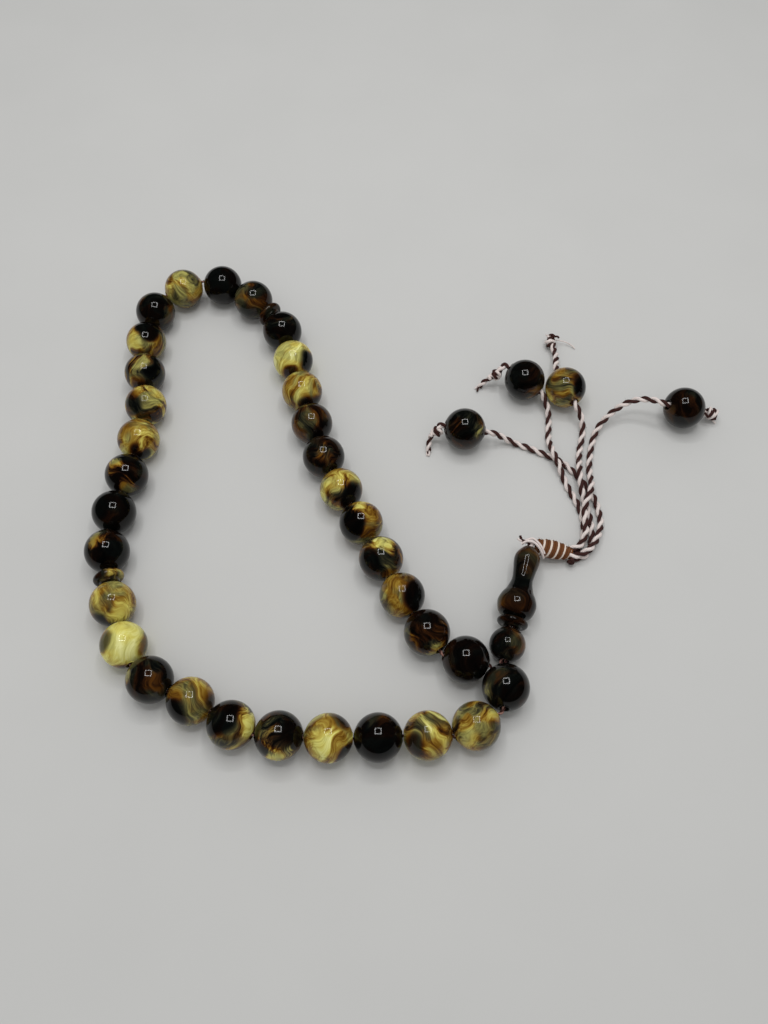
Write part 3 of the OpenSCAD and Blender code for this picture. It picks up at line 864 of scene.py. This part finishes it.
class MISBAHA_OT_wrapped_knot(Operator):
    """The winding that binds the tassel cords, in a wide and a thin thread, with its neck and tail."""

    bl_idname = "misbaha.wrapped_knot"
    bl_label = "Wrapped knot"

    def execute(self, context):
        looks = context.scene.misbaha_cords
        silky = yarn("winding_yarn", looks.band, looks.thread)
        twisted = bpy.data.materials["cord_yarn"]
        winding = joined("wound_knot", [
            single_yarn(f"winding_{name}", line, thick, ply, silky, looks)
            for name, line, thick, ply in winding_lines(looks)
        ])
        crossing = joined("crossing_strands", [
            single_yarn(f"strand_{number}", smooth(line), thick, ply, twisted, looks)
            if plies == 1 else twisted_piece(
                f"strand_{number}", smooth(line), bpy.data.node_groups["Two-ply cord"], thick, looks,
                {"Lay": looks.lay * CROSSING_LAY, "Material": twisted},
            )
            for number, (plies, ply, thick, line) in enumerate(CROSSINGS)
        ])
        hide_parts("wrapped_knot")
        for piece in (winding, crossing):
            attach(piece, BODY_OF["wrapped_knot"])
        return {"FINISHED"}


class MISBAHA_OT_beads(Operator):
    """The round beads of the loop."""

    bl_idname = "misbaha.beads"
    bl_label = "Beads"

    def execute(self, context):
        looks = context.scene.misbaha_beads
        for node in BEADS:
            turn_bead(node, looks.hole / 2, looks)
        return {"FINISHED"}


class MISBAHA_OT_tassel_beads(Operator):
    """The four round beads on the tassel's cords."""

    bl_idname = "misbaha.tassel_beads"
    bl_label = "Tassel beads"

    def execute(self, context):
        looks = context.scene.misbaha_beads
        for node in TASSEL_BEADS:
            turn_bead(node, looks.tassel_hole / 2, looks)
        return {"FINISHED"}


class MISBAHA_OT_discs(Operator):
    """The two separator discs and the collar under the tower."""

    bl_idname = "misbaha.discs"
    bl_label = "Discs and collar"

    def execute(self, context):
        looks = context.scene.misbaha_beads
        holes = {
            "separator_disc_1": looks.hole, "separator_disc_2": looks.hole, "collar": looks.tower_hole,
        }
        for node, hole in holes.items():
            foot, top, radius = reach(node)
            at, along = seat(node)
            middle = at + (foot + top) / 2 * along
            turned_piece(node, middle, button_outline(radius, top - foot, hole / 2), hole / 2, looks)
        return {"FINISHED"}


class MISBAHA_OT_tower(Operator):
    """The ball and the turned tower that the string's two ends go up through."""

    bl_idname = "misbaha.tower"
    bl_label = "Ball and tower"

    def execute(self, context):
        looks = context.scene.misbaha_beads
        turn_bead("ball", looks.tower_hole / 2, looks)
        at, along = seat("tower")
        foot = at + reach("tower")[0] * along
        hole = looks.tower_hole / 2
        turned_piece("tower", foot, tower_outline(hole, looks), hole, looks)
        return {"FINISHED"}


class MISBAHA_OT_stage(Operator):
    """Pale floor, ring lamp and soft fill light."""

    bl_idname = "misbaha.stage"
    bl_label = "Stage"

    def execute(self, context):
        looks = context.scene.misbaha_stage
        bpy.ops.mesh.primitive_plane_add(size=FLOOR_SIDE, location=(0, 0, cad_box[0][2]))
        floor = context.object
        floor.name = "floor"
        material, start = new_material("floor_card")
        grain = start.node("ShaderNodeTexNoise", None, {"Scale": 900.0, "Detail": 3.0})
        pale = start.node("ShaderNodeMix", {"data_type": "RGBA"}, {
            0: grain, 6: (*looks.floor, 1), 7: (*[tone * FLOOR_GRAIN for tone in looks.floor], 1),
        }, 2)
        surface(start, {"Base Color": pale, "Roughness": 0.6, "Specular IOR Level": 0.25})
        floor.data.materials.append(material)
        for turn in range(4):
            angle = turn * math.pi / 2
            side = looks.ring_side
            strip = lamp(f"ring_lamp_{turn}", looks.ring_watts, side, side * STRIP_SHARE)
            strip.location = LAMP_AT + side / 2 * Vector((math.sin(angle), -math.cos(angle), 0))
            strip.rotation_euler = (0, 0, angle)
        fill = lamp("fill_lamp", looks.fill_watts, FILL_SIDE, FILL_SIDE)
        fill.location = FILL_AT
        fill.visible_glossy = False
        sky(context.scene)
        context.scene.view_settings.view_transform = "Standard"
        return {"FINISHED"}


def lamp(name, watts, long, wide):
    """Rectangular lamp that shines down."""
    light = bpy.data.lights.new(name, "AREA")
    light.shape = "RECTANGLE"
    light.size = long
    light.size_y = wide
    light.energy = watts
    return placed(name, light)


def sky(scene):
    """Pale surroundings that light the floor and hide its edge, and that stay dark in the polish."""
    world = bpy.data.worlds.new("surroundings")
    world.use_nodes = True
    world.node_tree.nodes.clear()
    start = Wire(world.node_tree)
    shades = {
        light: start.node("ShaderNodeBackground", None, {"Color": SKY_COLOUR, "Strength": light})
        for light in (SKY_LIGHT, SKY_SEEN, SKY_IN_POLISH)
    }
    seen = start.node("ShaderNodeLightPath", output="Is Camera Ray")
    polish = start.node("ShaderNodeLightPath", output="Is Glossy Ray")
    direct = start.node("ShaderNodeMixShader", None, {0: seen, 1: shades[SKY_LIGHT], 2: shades[SKY_SEEN]})
    both = start.node("ShaderNodeMixShader", None, {0: polish, 1: direct, 2: shades[SKY_IN_POLISH]})
    start.node("ShaderNodeOutputWorld", None, {"Surface": both})
    scene.world = world


def turn_bead(node, hole, looks):
    """Turns one round bead."""
    radius = reach(node)[2]
    turned_piece(node, seat(node)[0], round_outline(radius, hole, looks.mouth), hole, looks)


def twisted_piece(name, path, tree, diameter, looks, values):
    """Grows a twisted cord along a path. Its plies fill the diameter."""
    sizes = {
        "Ply diameter": diameter * PLY_THICK, "Ply offset": diameter * PLY_OUT, "Fibres": looks.fibres,
    }
    piece = grown(name, line_object(name, path), tree, **{**sizes, **values})
    close_up(piece)
    return piece


def joined(name, parts):
    """One piece from several, which share their material."""
    work = bmesh.new()
    for part in parts:
        work.from_mesh(part.data)
    mesh = parts[0].data.copy()
    work.to_mesh(mesh)
    work.free()
    mesh.name = name
    for part in parts:
        bpy.data.objects.remove(part)
    return placed(name, mesh)


def string_line():
    """Turning points of the string: out of the tower, round the loop and back up through the tower."""
    ball, up = seat("ball")
    beside = up.cross(UP).normalized() * STRANDS_APART / 2
    out = ball - (reach("ball")[2] + TURN_POINT) * up
    top = seat("tower")[0] + reach("tower")[1] * up
    line = [top + beside, out + beside]
    for node in LOOP:
        at, along = seat(node)
        low, high, _ = reach(node)
        line += [at + (low + TURN_POINT) * along, at + (high - TURN_POINT) * along]
    return line + [out - beside, top - beside]


def wraps(entry, middle, tail, radius, turns, pitch, slant):
    """Line of a cord wrapped round itself: in from the bead, round, and out to its tail."""
    away = (middle - entry).normalized()
    side = away.cross(UP).normalized()
    lift = side.cross(away)
    steps = round(turns * WRAP_STEPS)
    line = [entry]
    for k in range(steps + 1):
        turn = FULL_TURN * k / WRAP_STEPS
        along = (k / steps - 0.5) * pitch * turns + slant * math.cos(turn)
        line.append(middle + radius * (math.cos(turn) * side + math.sin(turn) * lift) + along * away)
    return smooth(line + [Vector(point) for point in tail], 3)


def single_yarn(name, line, thick, ply, material, looks):
    """One yarn along a line."""
    return twisted_piece(name, line, bpy.data.node_groups["Single yarn"], thick, looks, {
        "Ply diameter": thick, "Ply offset": 0.0, "First ply": float(ply), "Step": YARN_STEP,
        "Material": material,
    })


def end_knot(number, entry, tail, tree, material, looks):
    """Knot that holds a tassel bead on its cord, with its cut tail and frayed yarns."""
    *wrapping, thick, lay = COILED_KNOT if number == 4 else TIED_KNOT
    line = wraps(entry, Vector(KNOT_MIDDLES[number - 1]), tail, *wrapping)
    parts = [twisted_piece(f"wraps_{number}", line, tree, thick, looks, {
        "Lay": lay, "First turn": KNOT_TURN * number, "Fibre seed": KNOT_SEED + number,
        "Material": material,
    })]
    parts += [
        single_yarn(f"fray_{number}_{place}", smooth(points), size, ply, material, looks)
        for place, (ply, size, points) in enumerate(FRAYS[number - 1])
    ]
    return joined(f"tied_end_{number}", parts)


def winding_lines(looks):
    """Lines of the wrapped knot: its core, its wide thread of two yarns, and its thin thread."""
    along = WRAP_END - WRAP_START
    axis = along.normalized()
    side = axis.cross(UP).normalized()
    lift = side.cross(axis)

    def spiral(shift, sink):
        line = []
        steps = int(looks.turns * WINDING_STEPS)
        for k in range(steps + 1):
            share = k / steps
            swell = math.sin(math.pi * (SWELL_START + SWELL_SPAN * share))
            radius = WAIST + SWELL * swell - sink
            turn = FULL_TURN * looks.turns * share + shift
            line.append(
                WRAP_START + share * along + radius * (math.cos(turn) * side + math.sin(turn) * lift)
            )
        return line

    middle = [WRAP_START + share / 10 * along for share in range(11)]
    beside = WIDE_APART * axis
    wide = spiral(0, WIDE_SUNK)
    return [
        ("core", middle, CORE_THICK, 0),
        ("wide_near", [point - beside for point in wide], WIDE_THICK, 0),
        ("wide_far", [point + beside for point in wide], WIDE_THICK, 0),
        ("thin", spiral(math.pi, THIN_SUNK), THIN_THICK, 1),
    ]


class MISBAHA_PT_pieces(Panel):
    """Lists the pieces in the order in which they are made."""

    bl_idname = "MISBAHA_PT_pieces"
    bl_label = "Misbaha prayer beads"
    bl_space_type = "VIEW_3D"
    bl_region_type = "UI"
    bl_category = "Misbaha"

    def draw(self, context):
        layout = self.layout
        for group in (getattr(context.scene, name) for name in GROUPS):
            box = layout.box()
            for name in group.bl_rna.properties.keys():
                if name not in {"rna_type", "name"}:
                    box.prop(group, name)
        for operator in OPERATORS:
            layout.operator(operator.bl_idname)


OPERATORS = (
    MISBAHA_OT_camera, MISBAHA_OT_tassel_cords, MISBAHA_OT_loop_string, MISBAHA_OT_wrapped_knot,
    MISBAHA_OT_beads, MISBAHA_OT_tassel_beads, MISBAHA_OT_discs, MISBAHA_OT_tower, MISBAHA_OT_stage,
)
GROUPS = {"misbaha_beads": BeadLooks, "misbaha_cords": CordLooks, "misbaha_stage": StageLooks}


def register():
    for kind in (*GROUPS.values(), *OPERATORS, MISBAHA_PT_pieces):
        bpy.utils.register_class(kind)
    for name, group in GROUPS.items():
        setattr(bpy.types.Scene, name, PointerProperty(type=group))


def unregister():
    for name in GROUPS:
        delattr(bpy.types.Scene, name)
    for kind in reversed((*GROUPS.values(), *OPERATORS, MISBAHA_PT_pieces)):
        bpy.utils.unregister_class(kind)


def main():
    register()
    for operator in OPERATORS:
        getattr(bpy.ops.misbaha, operator.bl_idname.split(".")[1])()


if __name__ == "__main__":
    main()
